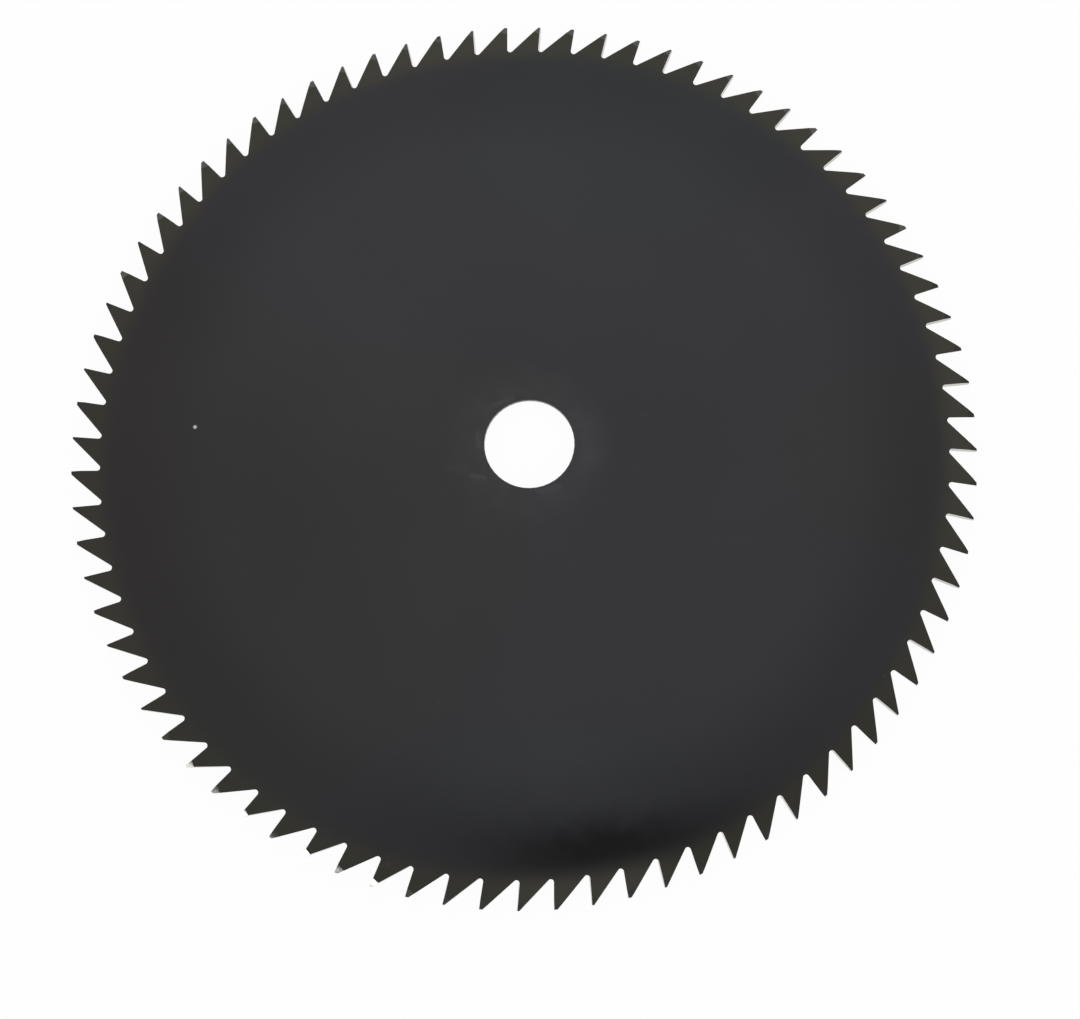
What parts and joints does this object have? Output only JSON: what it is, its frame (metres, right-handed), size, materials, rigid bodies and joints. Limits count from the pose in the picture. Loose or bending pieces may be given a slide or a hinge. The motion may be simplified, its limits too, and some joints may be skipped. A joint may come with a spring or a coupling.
{
  "type": "brush cutter blade",
  "caption": "Flat round steel blade, toothed all round its rim with hooked, bevel-ground teeth, and bored at the centre for a brush cutter's arbor.",
  "frame": {"origin": "centre of the bore, on the middle plane of the steel", "axes": "+Z along the bore's axis, out of the face on which the teeth point clockwise; +X through the front corner of one tooth's tip"},
  "size_m": [0.255, 0.255, 0.0014],
  "materials": {
    "blade": "dark satin coating with bare ground steel at the tooth tips"
  },
  "bodies": {
    "root": {"blade": "blade"}
  },
  "joints": []
}
